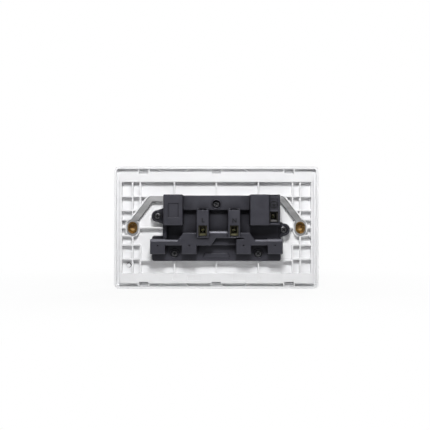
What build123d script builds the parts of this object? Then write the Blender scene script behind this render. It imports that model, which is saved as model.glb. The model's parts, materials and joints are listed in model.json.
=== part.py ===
from build123d import *
import os

# Two-gang socket outlet for a wall box, with shuttered pin apertures and a clip-on front cover.
# X runs to the right as seen from the room, Z up, and Y from the room into the wall.
# Y = 0 is the plane of the wall, and the origin is midway between the two fixing screws.
# All sizes are in millimetres.

# Front cover
plate_width = 147.0
plate_height = 88.0
plate_corner = 3.6
cover_face = 2.0
cover_round = 1.2
skirt_wall = 1.7
skirt_lip = 0.3
groove_ledge = 3.0
aperture_bevel = 0.3

# Clip hooks of the cover and the windows that they snap into
hook_x = 52.3
hook_width = 6.0
hook_wall = 1.1
hook_gap = 0.3
hook_catch = 1.6
hook_nose = 0.9
hook_tip = 0.2
window_width = 6.7
window_notch = 1.1
flank_rib = 0.9

# Mounting frame
frame_depth = 7.0
frame_floor = 2.1
frame_corner = 1.6
groove = 2.3
groove_fit = 0.15
land_width = 7.1
side_wall = 1.5
rib = 1.1
rib_drop = 0.5
inner_rib_x = 54.8
rib_rows = (5.7, 12.4, 22.5)
lower_rib_z = -23.6
brace_wall = 0.7
brace_near = (20.6, 23.4)
brace_far = (41.6, 38.6)
pocket_hole_x = 63.4
pocket_hole_z = -27.2
pocket_hole = 3.7
mark_depth = 0.35
mark_z = -36.4
mark_round = 3.0
mark_panel_x = 16.0
mark_panel_width = 9.4
mark_panel_height = 3.4

# Fixing points: holes for the wall screws, brass eyelets and the earth strap's rings
fixing_pitch = 120.6
fixing_hole = 4.2
fixing_recess = 8.6
fixing_recess_depth = 2.4
fixing_web = 0.6
eyelet_width = 5.8
eyelet_height = 7.6
eyelet_wall = 0.3
eyelet_floor = 0.5
eyelet_rim = 0.2
eyelet_rim_height = 0.3
eyelet_fit = 0.1
head_cup_depth = 2.1
boss_margin = 0.9

# Earth strap
strap_width = 3.8
strap_thick = 1.2
strap_z = 20.8
strap_bend_x = 47.0
strap_end_z = 3.5
strap_bend = 3.0
strap_gap = 0.4
ring_width = 8.3
ring_height = 11.4

# Outlets: pin apertures in the cover, and the same apertures grown a little in the frame
outlet_pitch = 60.5
pin_pitch = 22.2
earth_rise = 22.2
pin_z = -12.4
slot_width = 6.9
slot_height = 4.8
earth_width = 4.8
earth_height = 8.8
aperture_step = 0.5

# Shutters and their springs
shutter_thick = 2.6
shutter_gap = 0.15
shutter_overlap = 0.4
shutter_travel = 6.6
ramp_top_z = 11.6
ramp_height = 6.4
ramp_back_gap = 0.3
stem_half = 4.4
step_half = 6.6
step_z = -5.0
bridge_z = -8.9
leg_half = 3.6
guide_gap = 0.3
guide_wall = 1.0
guide_bottom_z = -1.5
guide_top_z = 4.0
spring_slot_half = 1.6
spring_top_z = 3.2
spring_peg_z = -11.0
spring_peg_half = 1.3
spring_wire = 0.35
spring_radius = 1.0
spring_turns = 4
spring_end_gap = 0.05

# Rear housing: levels are measured from the wall plane into the wall box
base_level = 2.5
floor_level = 3.3
ledge_level = 8.0
bar_level = 8.5
plateau_level = 12.5
terminal_level = 14.5
earth_level = 16.0
housing_wall = 1.2
housing_corner = 1.5
block_corner = 0.8
edge_break = 0.35
body_right_x = 38.0
body_left_x = -44.6
body_top_z = 22.9
body_bottom_z = -8.2
band_top_z = -8.2
base_top_z = -5.8
base_drop = 0.9
seat_in = 0.7
seat_out = 0.5
earth_block_width = 13.6
earth_block_bottom_z = 1.9
block_rise = 0.6
bar_bottom_z = 12.5
strip_width = 3.0
strip_top_z = 3.0
pin_block = 10.7
pin_block_drop = 0.7
link_top_z = -3.4
link_bottom_z = -12.3
middle_top_z = -2.4
link_slope_x = 27.2
link_slope_run = 3.8
cross_x = 3.9
cross_run = 3.5
cross_top_z = -7.2
bevel_drop = 1.2
bevel_depth = 0.8
middle_bevel_drop = 1.2
middle_bevel_depth = 0.5
pin_mark = 1.1
pin_mark_depth = 0.9
recess_width = 7.3
recess_height = 10.0
recess_depth = 0.5
sign_panel_width = 6.0
sign_panel_height = 8.0
sign_panel_z = 16.5
panel_half = 9.6
panel_slope = 1.6
panel_top_z = -18.2
panel_bottom_z = -21.4
panel_rise = 0.5

# Terminals: a brass block behind each wire hole, clamped by a screw from above
live_terminal_x = 9.6
neutral_terminal_x = -12.4
earth_terminal_x = -40.2
terminal_z = -1.5
earth_terminal_z = 8.2
terminal_box_width = 8.8
terminal_box_top_z = 13.5
terminal_box_bottom_z = -6.9
earth_box_bottom_z = 2.0
wire_hole_width = 6.0
wire_hole_top = 3.3
wire_hole_bottom = 3.7
lead_in = 1.2
terminal_width = 6.6
terminal_fit = 0.2
terminal_front = 5.0
terminal_back = 13.1
wire_bore_width = 4.2
wire_bore_height = 4.8
wire_bore_floor = 1.0
mouth_bevel = 0.6
drill_point = 2.4
drill_depth = 0.6
drill_taper = 59
terminal_bottom_wall = 1.5
terminal_thread = 4.4
terminal_tail = 1.0
wire_bore_corner = 0.5
clamp_level = 10.7
clamp_screw = 3.6
clamp_fit = 0.1
clamp_head = 4.8
clamp_head_height = 1.8
clamp_slot_width = 0.8
clamp_slot_depth = 0.8
clamp_rest_gap = 0.3
clamp_travel = 4.2
clamp_stop_gap = 0.6
channel_gap = 0.4
channel_slot_width = 6.4
channel_slot_height = 0.9

# Contacts and the strips that feed them
contact_wall = 0.5
contact_bend = 0.7
contact_front = 0.2
contact_back = 9.85
contact_half = 2.35
contact_width = 6.4
contact_flare = 0.5
contact_flare_run = 1.4
earth_contact_front = 2.2
earth_contact_back = 14.0
earth_contact_height = 7.0
earth_tab = 1.0
bar_wall = 0.6
bar_gap = 0.3
bar_bend = 1.0
bar_front = 5.7
bar_back = 10.0
branch_front = 1.9
branch_back = 4.9
bar_overhang = 3.2

# Housing screws
lug_right = (42.2, 8.3)
lug_right_radius = 4.2
lug_left = (-48.2, -1.4)
lug_left_radius = 4.5
lug_flare = 1.6
lower_screw_x = 29.9
lower_screw_z = -18.4
top_screw = (0.0, 16.8)
screw_head = 5.2
screw_head_height = 1.8
screw_head_bevel = 0.5
screw_shank = 2.6
screw_length = 5.6
screw_fit = 0.1
screw_web = 1.1
screw_end_gap = 0.3
screw_seat_gap = 0.25
top_screw_sink = 4.0
cross_width = 0.8
cross_length = 3.2
cross_depth = 1.1
cross_turn = 20
post_radius = 2.5
boss_ring = 3.5
boss_rise = 0.5

# Places that follow from the sizes above
frame_y = -frame_depth
cover_y = frame_y - cover_face
floor_y = frame_y + frame_floor
ledge_y = frame_y + groove_ledge
rib_y = -rib_drop
skirt_y = -skirt_lip
housing_y = rib_y
strap_y = rib_y
strap_seat_y = strap_y - strap_thick
skirt_in_x = plate_width / 2 - skirt_wall
skirt_in_z = plate_height / 2 - skirt_wall
frame_half_w = skirt_in_x - groove
frame_half_h = skirt_in_z - groove
well_half_w = frame_half_w - side_wall
well_half_h = frame_half_h - land_width
fixing_x = fixing_pitch / 2
recess_y = frame_y + fixing_recess_depth
eyelet_y = recess_y + fixing_web
outlet_x = outlet_pitch / 2
earth_z = pin_z + earth_rise
outlets = {"left": -outlet_x, "right": outlet_x}
hook_places = (-hook_x, 0, hook_x)
wing_reach = pin_pitch / 2 + slot_width / 2 + shutter_overlap
wing_top_z = pin_z + slot_height / 2 + 3 * shutter_overlap
wing_bottom_z = pin_z - slot_height / 2 - 2 * shutter_overlap
shutter_front = floor_y + shutter_gap
shutter_back = shutter_front + shutter_thick
ramp_back = housing_y - ramp_back_gap
base_half = outlet_x + wing_reach + shutter_gap + seat_in
base_bottom_z = wing_bottom_z - shutter_travel - base_drop - seat_in
pin_places = [x + side * pin_pitch / 2 for x in outlets.values() for side in (-1, 1)]
live_places = {name: x + pin_pitch / 2 for name, x in outlets.items()}
neutral_places = {name: x - pin_pitch / 2 for name, x in outlets.items()}
leaf_top_z = pin_z + contact_half + contact_wall / 2
bar_low_z = leaf_top_z + bar_wall / 2
terminal_foot = wire_bore_height / 2 + terminal_bottom_wall
terminal_head = wire_bore_height / 2 + terminal_thread
bar_high_z = terminal_z - terminal_foot - bar_wall / 2
pin_block_z = pin_z - pin_block_drop
block_top_z = body_top_z + block_rise
tail_top_z = body_top_z - housing_wall - terminal_fit
foot_z = earth_z + earth_height / 2 + earth_tab
screw_seats = {
    lug_right: housing_y + screw_web,
    lug_left: housing_y + screw_web,
    (-lower_screw_x, lower_screw_z): housing_y + screw_web,
    (lower_screw_x, lower_screw_z): housing_y + screw_web,
    top_screw: bar_level - top_screw_sink,
}
terminals = {
    "live": (live_terminal_x, terminal_z, terminal_box_top_z),
    "neutral": (neutral_terminal_x, terminal_z, terminal_box_top_z),
    "earth": (earth_terminal_x, earth_terminal_z, block_top_z),
}

os.makedirs("parts", exist_ok=True)


def level(y):
    """Plane parallel to the wall at depth y, sketched in X and Z. Extruding goes towards the room."""
    return Plane.XZ.offset(-y)


def pin_apertures(x, grow):
    """Sketch the three pin apertures of the outlet at x."""
    with Locations((x - pin_pitch / 2, pin_z), (x + pin_pitch / 2, pin_z)):
        Rectangle(slot_width + 2 * grow, slot_height + 2 * grow)
    with Locations((x, earth_z)):
        Rectangle(earth_width + 2 * grow, earth_height + 2 * grow)


def upright_slot(x, width, height):
    """Sketch an upright slot with round ends, centred on a fixing point."""
    with Locations((x, 0)):
        SlotOverall(height, width, rotation=90)


def body_outline(grow):
    """Sketch the two overlapping rectangles of the housing's footprint."""
    with Locations(((body_left_x + body_right_x) / 2, (body_top_z + body_bottom_z) / 2)):
        Rectangle(body_right_x - body_left_x + 2 * grow, body_top_z - body_bottom_z + 2 * grow)
    with Locations((0, (base_top_z + base_bottom_z) / 2)):
        RectangleRounded(
            2 * (base_half + grow), base_top_z - base_bottom_z + 2 * grow, housing_corner + grow
        )


def lug_outlines(grow):
    """Sketch the two screw lugs: a round end that flares out to the side of the body."""
    for (x, z), radius, body_x in (
        (lug_right, lug_right_radius + grow, body_right_x),
        (lug_left, lug_left_radius + grow, body_left_x),
    ):
        with Locations((x, z)):
            Circle(radius)
        Polygon(
            (x, z + radius),
            (body_x, z + radius + lug_flare),
            (body_x, z - radius - lug_flare),
            (x, z - radius),
            align=None,
        )


def strap_outline(grow):
    """Sketch the earth strap: a straight run, two slanting arms and a ring at each fixing point."""
    with BuildLine() as path:
        FilletPolyline(
            (-fixing_x, strap_end_z),
            (-strap_bend_x, strap_z),
            (strap_bend_x, strap_z),
            (fixing_x, strap_end_z),
            radius=strap_bend,
        )
    trace(path.edges(), line_width=strap_width + 2 * grow)
    for x in (-fixing_x, fixing_x):
        upright_slot(x, ring_width + 2 * grow, ring_height + 2 * grow)


# Front cover: face plate, skirt with a ledge inside, pin apertures and six hooks
with BuildPart() as front_cover:
    with BuildSketch(level(skirt_y)):
        RectangleRounded(plate_width, plate_height, plate_corner)
    extrude(amount=skirt_y - cover_y)
    fillet(front_cover.faces().sort_by(Axis.Y)[0].edges(), cover_round)
    with BuildSketch(level(skirt_y)):
        RectangleRounded(2 * skirt_in_x, 2 * skirt_in_z, plate_corner - skirt_wall)
    extrude(amount=skirt_y - ledge_y, mode=Mode.SUBTRACT)
    with BuildSketch(level(ledge_y)):
        RectangleRounded(
            2 * (frame_half_w + groove_fit), 2 * (frame_half_h + groove_fit), frame_corner + groove_fit
        )
    extrude(amount=groove_ledge, mode=Mode.SUBTRACT)
    with BuildSketch(level(frame_y)):
        for outlet in outlets.values():
            pin_apertures(outlet, 0)
    extrude(amount=cover_face, mode=Mode.SUBTRACT)
    aperture_edges = front_cover.faces().sort_by(Axis.Y)[0].inner_wires().edges()
    chamfer(aperture_edges, aperture_bevel)
    tongue_z = frame_half_h + hook_gap
    catch_y = frame_y + hook_catch + hook_gap
    nose_y = catch_y + hook_nose
    for x in hook_places:
        for side in (-1, 1):
            with BuildSketch(Plane.YZ.offset(x)):
                with BuildLine():
                    Polyline(
                        (frame_y, side * tongue_z),
                        (catch_y, side * tongue_z),
                        (catch_y, side * (frame_half_h - window_notch + hook_gap)),
                        (nose_y, side * tongue_z),
                        (nose_y + hook_tip, side * tongue_z),
                        (nose_y + hook_tip, side * (tongue_z + hook_wall)),
                        (frame_y, side * (tongue_z + hook_wall)),
                        close=True,
                    )
                make_face()
            extrude(amount=hook_width / 2, both=True)
front_cover.part.label = "front_cover"
export_step(front_cover.part, "parts/front_cover.step")

# Mounting frame: tray with lands, ribs, a seat for the housing and bosses for the screws
with BuildPart() as mounting_frame:
    with BuildSketch(level(0)):
        RectangleRounded(2 * frame_half_w, 2 * frame_half_h, frame_corner)
    extrude(amount=frame_depth)
    with BuildSketch(level(0)):
        Rectangle(2 * well_half_w, 2 * well_half_h)
    extrude(amount=frame_depth - frame_floor, mode=Mode.SUBTRACT)

    # Ribs in the side columns, and the cross ribs that reach the housing's seat
    with BuildSketch(level(rib_y)):
        upper_row = max(rib_rows)
        for side in (-1, 1):
            with Locations((side * fixing_x, 0)):
                Rectangle(rib, 2 * well_half_h)
            for z in (0, *rib_rows, *[-row for row in rib_rows]):
                with Locations((side * (fixing_x + well_half_w) / 2, z)):
                    Rectangle(well_half_w - fixing_x, rib)
            for z in (*rib_rows[1:], *[-row for row in rib_rows[1:]]):
                with Locations((side * (inner_rib_x + fixing_x) / 2, z)):
                    Rectangle(fixing_x - inner_rib_x, rib)
            for end in (-1, 1):
                with Locations((side * inner_rib_x, end * (rib_rows[1] + well_half_h) / 2)):
                    Rectangle(rib, well_half_h - rib_rows[1])
            with Locations((side * fixing_x / 2, 0)):
                Rectangle(fixing_x, rib)
            with Locations((side * inner_rib_x / 2, upper_row), (side * inner_rib_x / 2, lower_rib_z)):
                Rectangle(inner_rib_x, rib)
        with Locations((-outlet_x, 0), (0, 0), (outlet_x, 0)):
            Rectangle(rib, 2 * well_half_h)
    extrude(amount=rib_y - floor_y)

    # Walls along the outer side of the strap's slanting arms
    arm_run = fixing_x - strap_bend_x
    arm_drop = strap_z - strap_end_z
    arm_length = (arm_run**2 + arm_drop**2) ** 0.5
    wall_step = strap_width / 2 + strap_gap + rib / 2
    shift_x = wall_step * arm_drop / arm_length
    shift_z = wall_step * arm_run / arm_length
    with BuildSketch(level(rib_y)):
        for side in (-1, 1):
            with BuildLine():
                Line(
                    (side * (strap_bend_x + shift_x), strap_z + shift_z),
                    (side * (fixing_x + shift_x), strap_end_z + shift_z),
                )
            trace(line_width=rib)
    extrude(amount=rib_y - floor_y)

    # Seat wall around the housing's outline, cleared inside for the shutters
    with BuildSketch(level(rib_y)):
        body_outline(seat_out)
        lug_outlines(seat_out)
    extrude(amount=rib_y - floor_y)
    with BuildSketch(level(rib_y)):
        body_outline(-seat_in)
    extrude(amount=rib_y - floor_y, mode=Mode.SUBTRACT)

    # Posts for the housing screws, spring pegs and shutter guides
    for place, seat in screw_seats.items():
        with BuildSketch(level(seat - screw_web)):
            with Locations(place):
                Circle(post_radius)
        extrude(amount=seat - screw_web - floor_y)
    with BuildSketch(level(shutter_back)):
        for outlet in outlets.values():
            with Locations((outlet, (spring_peg_z + lower_screw_z) / 2)):
                Rectangle(2 * spring_peg_half, spring_peg_z - lower_screw_z)
            for side in (-1, 1):
                guide_x = outlet + side * (stem_half + guide_gap + guide_wall / 2)
                with Locations((guide_x, (guide_bottom_z + guide_top_z) / 2)):
                    Rectangle(guide_wall, guide_top_z - guide_bottom_z)
    extrude(amount=shutter_back - floor_y)
    for place, seat in screw_seats.items():
        with BuildSketch(level(seat - screw_web)):
            with Locations(place):
                Circle(screw_shank / 2 + screw_fit)
        extrude(amount=screw_length - screw_web + screw_end_gap, mode=Mode.SUBTRACT)

    # Bosses under the strap's rings, then the strap's way through ribs and walls
    with BuildSketch(level(rib_y)):
        for x in (-fixing_x, fixing_x):
            upright_slot(x, ring_width + 2 * boss_margin, ring_height + 2 * boss_margin)
    extrude(amount=rib_y - floor_y)
    with BuildSketch(level(rib_y)):
        strap_outline(strap_gap)
    extrude(amount=rib_y - strap_seat_y, mode=Mode.SUBTRACT)

    # Eyelet pockets, screw holes and the recesses for the screw heads
    with BuildSketch(level(rib_y)):
        for x in (-fixing_x, fixing_x):
            grow = 2 * (eyelet_wall + eyelet_fit)
            upright_slot(x, eyelet_width + grow, eyelet_height + grow)
    extrude(amount=rib_y - eyelet_y, mode=Mode.SUBTRACT)
    with BuildSketch(level(eyelet_y)):
        with Locations((-fixing_x, 0), (fixing_x, 0)):
            Circle(fixing_hole / 2 + eyelet_wall + eyelet_fit)
    extrude(amount=fixing_web, mode=Mode.SUBTRACT)
    with BuildSketch(level(recess_y)):
        with Locations((-fixing_x, 0), (fixing_x, 0)):
            Circle(fixing_recess / 2)
    extrude(amount=fixing_recess_depth, mode=Mode.SUBTRACT)

    # Pin apertures and the locating hole in one corner pocket
    with BuildSketch(level(floor_y)):
        for outlet in outlets.values():
            pin_apertures(outlet, aperture_step)
        with Locations((pocket_hole_x, pocket_hole_z)):
            Circle(pocket_hole / 2)
    extrude(amount=frame_floor, mode=Mode.SUBTRACT)

    # Notches for the cover's hooks, and the ribs that steady the cover's skirt
    with BuildSketch(level(0)):
        for x in hook_places:
            with Locations((x, frame_half_h), (x, -frame_half_h)):
                Rectangle(window_width, 2 * window_notch)
    extrude(amount=frame_depth - hook_catch, mode=Mode.SUBTRACT)
    with BuildSketch(level(rib_y)):
        reach = groove - groove_fit
        for x in hook_places:
            for side in (-1, 1):
                flank_x = x + side * (window_width + flank_rib) / 2
                flank_z = frame_half_h + reach / 2
                with Locations((flank_x, flank_z), (flank_x, -flank_z)):
                    Rectangle(flank_rib, reach)
    extrude(amount=rib_y - ledge_y - groove_fit)
    with BuildSketch(level(rib_y)):
        for side in (-1, 1):
            for end in (-1, 1):
                for outer_x, inner_x in (brace_near, brace_far):
                    with BuildLine():
                        Line(
                            (side * outer_x, end * (skirt_in_z - groove_fit - brace_wall / 2)),
                            (side * inner_x, end * (frame_half_h - brace_wall / 2)),
                        )
                    trace(line_width=brace_wall)
    extrude(amount=rib_y - ledge_y - groove_fit)

    # Moulding marks in the lower land
    with BuildSketch(level(0)):
        with Locations((-outlet_x, mark_z), (outlet_x, mark_z)):
            Circle(mark_round / 2)
        with Locations((-mark_panel_x, mark_z), (mark_panel_x, mark_z)):
            Rectangle(mark_panel_width, mark_panel_height)
    extrude(amount=mark_depth, mode=Mode.SUBTRACT)
mounting_frame.part.label = "mounting_frame"
export_step(mounting_frame.part, "parts/mounting_frame.step")

# Earth strap: flat steel, with a bite where it passes the top screw's post
with BuildPart() as earth_strap:
    with BuildSketch(level(strap_y)):
        strap_outline(0)
        for x in (-fixing_x, fixing_x):
            with Locations((x, 0)):
                SlotOverall(
                    eyelet_height + 2 * (eyelet_wall + eyelet_fit),
                    eyelet_width + 2 * (eyelet_wall + eyelet_fit),
                    rotation=90,
                    mode=Mode.SUBTRACT,
                )
        with Locations(top_screw):
            Circle(post_radius + strap_gap, mode=Mode.SUBTRACT)
    extrude(amount=strap_thick)
earth_strap.part.label = "earth_strap"
export_step(earth_strap.part, "parts/earth_strap.step")

# Eyelets: oval cups with a turned-over rim on the strap, and a round neck to a cup for the screw head
for name, x in {"left": -fixing_x, "right": fixing_x}.items():
    with BuildPart() as eyelet:
        with BuildSketch(level(strap_y + eyelet_rim_height)):
            grow = 2 * (eyelet_wall + eyelet_rim)
            upright_slot(x, eyelet_width + grow, eyelet_height + grow)
        extrude(amount=eyelet_rim_height)
        with BuildSketch(level(strap_y)):
            upright_slot(x, eyelet_width + 2 * eyelet_wall, eyelet_height + 2 * eyelet_wall)
        extrude(amount=strap_y - eyelet_y)
        with BuildSketch(level(eyelet_y)):
            with Locations((x, 0)):
                Circle(fixing_hole / 2 + eyelet_wall)
        extrude(amount=fixing_web)
        with BuildSketch(level(recess_y)):
            with Locations((x, 0)):
                Circle(fixing_recess / 2 - eyelet_fit)
        extrude(amount=head_cup_depth)
        with BuildSketch(level(strap_y + eyelet_rim_height)):
            upright_slot(x, eyelet_width, eyelet_height)
        extrude(amount=strap_y + eyelet_rim_height - eyelet_y - eyelet_floor, mode=Mode.SUBTRACT)
        with BuildSketch(level(eyelet_y + eyelet_floor)):
            with Locations((x, 0)):
                Circle(fixing_hole / 2)
        extrude(amount=eyelet_floor + fixing_web + eyelet_wall, mode=Mode.SUBTRACT)
        with BuildSketch(level(recess_y - eyelet_wall)):
            with Locations((x, 0)):
                Circle(fixing_recess / 2 - eyelet_fit - eyelet_wall)
        extrude(amount=head_cup_depth - eyelet_wall, mode=Mode.SUBTRACT)
    eyelet.part.label = f"eyelet_{name}"
    export_step(eyelet.part, f"parts/eyelet_{name}.step")


def moulded_block(x0, x1, z0, z1, top):
    """Raised block of the housing, with rounded upright edges and broken rear edges."""
    with BuildPart() as block:
        with BuildSketch(level(top)):
            with Locations(((x0 + x1) / 2, (z0 + z1) / 2)):
                RectangleRounded(x1 - x0, z1 - z0, block_corner)
        extrude(amount=top - housing_y)
        chamfer(block.faces().sort_by(Axis.Y)[-1].edges(), edge_break)
    return block.part


def bar_path(*points, grow=0):
    """Sketch a brass strip that stands on edge along a path of straight runs and small bends."""
    with BuildLine() as path:
        FilletPolyline(*points, radius=bar_bend)
    trace(path.edges(), line_width=bar_wall + 2 * grow)


def live_run(grow=0):
    """Sketch the strip from the right live contact to the live terminal."""
    bar_path(
        (live_places["right"] + bar_overhang + grow, bar_low_z),
        (link_slope_x, bar_low_z),
        (link_slope_x - link_slope_run, bar_high_z),
        (live_terminal_x - terminal_width / 2, bar_high_z),
        grow=grow,
    )


def live_branch(grow=0):
    """Sketch the strip from the live terminal to the left live contact, in front of the neutral strip."""
    turn_x = live_terminal_x - terminal_width / 2
    bar_path(
        (live_terminal_x + terminal_width / 2, bar_high_z),
        (turn_x, bar_high_z),
        (turn_x - cross_run, bar_low_z),
        (live_places["left"] - bar_overhang - grow, bar_low_z),
        grow=grow,
    )


def neutral_run(grow=0):
    """Sketch the strip from one neutral contact past the neutral terminal to the other."""
    bar_path(
        (neutral_places["right"] + bar_overhang + grow, bar_low_z),
        (cross_x, bar_low_z),
        (cross_x - cross_run, bar_high_z),
        (link_slope_run - link_slope_x, bar_high_z),
        (-link_slope_x, bar_low_z),
        (neutral_places["left"] - bar_overhang - grow, bar_low_z),
        grow=grow,
    )


def cross_screw(place, seat):
    """Pan-head screw with a cross recess, its head seated at depth seat."""
    with BuildPart() as screw:
        with BuildSketch(level(seat + screw_head_height)):
            with Locations(place):
                Circle(screw_head / 2)
        extrude(amount=screw_head_height)
        chamfer(screw.edges().sort_by(Axis.Y)[-1], screw_head_bevel)
        with BuildSketch(level(seat)):
            with Locations(place):
                Circle(screw_shank / 2)
        extrude(amount=screw_length)
        with BuildSketch(level(seat + screw_head_height)):
            with Locations(place):
                Rectangle(cross_length, cross_width, rotation=cross_turn)
                Rectangle(cross_width, cross_length, rotation=cross_turn)
        extrude(amount=cross_depth, mode=Mode.SUBTRACT)
    return screw.part


# Rear housing: the base with its lugs, then the raised blocks over contacts and terminals
with BuildPart() as housing_base:
    with BuildSketch(level(base_level)):
        body_outline(0)
        lug_outlines(0)
    extrude(amount=base_level - housing_y)
    chamfer(housing_base.faces().sort_by(Axis.Y)[-1].edges(), edge_break)

with BuildPart() as plateau:
    with BuildSketch(level(plateau_level)):
        with BuildLine():
            Polyline(
                (max(pin_places), band_top_z),
                (link_slope_x, band_top_z),
                (link_slope_x - link_slope_run, link_top_z),
                (live_terminal_x, link_top_z),
                (live_terminal_x, middle_top_z),
                (neutral_terminal_x, middle_top_z),
                (neutral_terminal_x, link_top_z),
                (link_slope_run - link_slope_x, link_top_z),
                (-link_slope_x, band_top_z),
                (min(pin_places), band_top_z),
                (min(pin_places), link_bottom_z),
                (live_places["left"], link_bottom_z),
                (live_places["left"], cross_top_z),
                (cross_x - cross_run, cross_top_z),
                (cross_x, link_bottom_z),
                (max(pin_places), link_bottom_z),
                close=True,
            )
        make_face()
    extrude(amount=plateau_level - housing_y)
    chamfer(plateau.faces().sort_by(Axis.Y)[-1].edges(), edge_break)

blocks = [
    moulded_block(body_left_x, body_right_x, body_bottom_z, body_top_z, floor_level),
    moulded_block(-outlet_x, outlet_x, bar_bottom_z, body_top_z, bar_level),
    moulded_block(body_left_x, -outlet_x, earth_box_bottom_z, block_top_z, terminal_level),
    moulded_block(body_right_x - strip_width, body_right_x, body_bottom_z, strip_top_z, ledge_level),
    moulded_block(live_places["left"], cross_x, link_bottom_z, cross_top_z + housing_wall, ledge_level),
]
for x in outlets.values():
    half = earth_block_width / 2
    blocks.append(moulded_block(x - half, x + half, earth_block_bottom_z, block_top_z, earth_level))
for x in (live_terminal_x, neutral_terminal_x):
    half = terminal_box_width / 2
    blocks.append(
        moulded_block(x - half, x + half, terminal_box_bottom_z, terminal_box_top_z, terminal_level)
    )
for x in pin_places:
    half = pin_block / 2
    blocks.append(moulded_block(x - half, x + half, pin_block_z - half, pin_block_z + half, plateau_level))

with BuildPart() as rear_housing:
    add(housing_base.part)
    add(plateau.part)
    add(blocks)

    # Raised rings round the screws and a shallow panel between the lower ones
    for place in screw_seats:
        ring_level = bar_level if place == top_screw else base_level
        with BuildSketch(level(ring_level + boss_rise)):
            with Locations(place):
                Circle(boss_ring)
        extrude(amount=boss_rise)
    with BuildSketch(level(base_level + panel_rise)):
        Polygon(
            (panel_half - panel_slope, panel_top_z),
            (panel_slope - panel_half, panel_top_z),
            (-panel_half, panel_bottom_z),
            (panel_half, panel_bottom_z),
            align=None,
        )
    extrude(amount=panel_rise)

    # Bevels along the upper edges of the plateau: at its two ends, and between the terminal boxes
    bevel_top_z = pin_block_z + pin_block / 2
    bevel_low_z = band_top_z - bevel_drop
    bevel_end_x = max(pin_places) + pin_block / 2
    box_half = terminal_box_width / 2
    for x0, x1, low_z, top_z, depth in (
        (-bevel_end_x, -link_slope_x, bevel_low_z, bevel_top_z, bevel_depth),
        (link_slope_x, bevel_end_x, bevel_low_z, bevel_top_z, bevel_depth),
        (
            neutral_terminal_x + box_half,
            live_terminal_x - box_half,
            middle_top_z - middle_bevel_drop,
            middle_top_z,
            middle_bevel_depth,
        ),
    ):
        with BuildSketch(Plane.YZ.offset((x0 + x1) / 2)):
            Polygon(
                (plateau_level, low_z),
                (plateau_level, top_z),
                (plateau_level - depth, top_z),
                align=None,
            )
        extrude(amount=(x1 - x0) / 2, both=True, mode=Mode.SUBTRACT)

    # Cells for the contacts, open to the room
    with BuildSketch(level(earth_level - housing_wall)):
        cell_top = body_top_z - housing_wall
        cell_bottom = earth_block_bottom_z + housing_wall
        with Locations(*[(x, (cell_top + cell_bottom) / 2) for x in outlets.values()]):
            Rectangle(earth_block_width - 2 * housing_wall, cell_top - cell_bottom)
    extrude(amount=earth_level - housing_wall - housing_y, mode=Mode.SUBTRACT)
    with BuildSketch(level(plateau_level - housing_wall)):
        with Locations(*[(x, pin_block_z) for x in pin_places]):
            Rectangle(pin_block - 2 * housing_wall, pin_block - 2 * housing_wall)
    extrude(amount=plateau_level - housing_wall - housing_y, mode=Mode.SUBTRACT)

    # Channels for the brass strips
    with BuildSketch(level(bar_back + bar_gap)):
        live_run(bar_gap)
        neutral_run(bar_gap)
    extrude(amount=bar_back + bar_gap - housing_y, mode=Mode.SUBTRACT)
    with BuildSketch(level(branch_back + bar_gap)):
        live_branch(bar_gap)
    extrude(amount=branch_back + bar_gap - housing_y, mode=Mode.SUBTRACT)

    # Terminal chambers, wire holes and the ways to the clamp screws
    for name, (x, z, top_z) in terminals.items():
        with BuildSketch(level(terminal_back + terminal_fit)):
            with Locations((x, z + (terminal_head - terminal_foot) / 2)):
                Rectangle(
                    terminal_width + 2 * terminal_fit, terminal_head + terminal_foot + 2 * terminal_fit
                )
        extrude(amount=terminal_back + terminal_fit - housing_y, mode=Mode.SUBTRACT)
        with BuildSketch(Plane.YZ.offset(x)):
            Polygon(
                (terminal_back, z + wire_hole_top),
                (terminal_level, z + wire_hole_top),
                (terminal_level, z - wire_hole_bottom - lead_in),
                (terminal_back, z - wire_hole_bottom),
                align=None,
            )
        extrude(amount=wire_hole_width / 2, both=True, mode=Mode.SUBTRACT)
        with BuildSketch(Plane.XY.offset(top_z)):
            with Locations((x, clamp_level)):
                Circle(clamp_head / 2 + channel_gap)
        extrude(amount=z + terminal_head - top_z, mode=Mode.SUBTRACT)
        with BuildSketch(level(terminal_level)):
            with Locations((x, top_z - channel_slot_height / 2)):
                Rectangle(channel_slot_width, channel_slot_height)
        extrude(amount=terminal_level - clamp_level, mode=Mode.SUBTRACT)
    with BuildSketch(level(terminal_front)):
        with Locations((earth_terminal_x, (tail_top_z + earth_terminal_z) / 2)):
            Rectangle(terminal_width + 2 * terminal_fit, tail_top_z - earth_terminal_z + 2 * terminal_fit)
    extrude(amount=terminal_front - housing_y, mode=Mode.SUBTRACT)

    # Screw holes, sunk heads, and the top post's socket
    for place, seat in screw_seats.items():
        with BuildSketch(level(earth_level)):
            with Locations(place):
                Circle(screw_head / 2 + screw_seat_gap)
        extrude(amount=earth_level - seat, mode=Mode.SUBTRACT)
        with BuildSketch(level(seat)):
            with Locations(place):
                Circle(screw_shank / 2 + screw_seat_gap)
        extrude(amount=seat - housing_y, mode=Mode.SUBTRACT)
    with BuildSketch(level(screw_seats[top_screw] - screw_web)):
        with Locations(top_screw):
            Circle(post_radius + screw_seat_gap)
    extrude(amount=screw_seats[top_screw] - screw_web - housing_y, mode=Mode.SUBTRACT)

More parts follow.
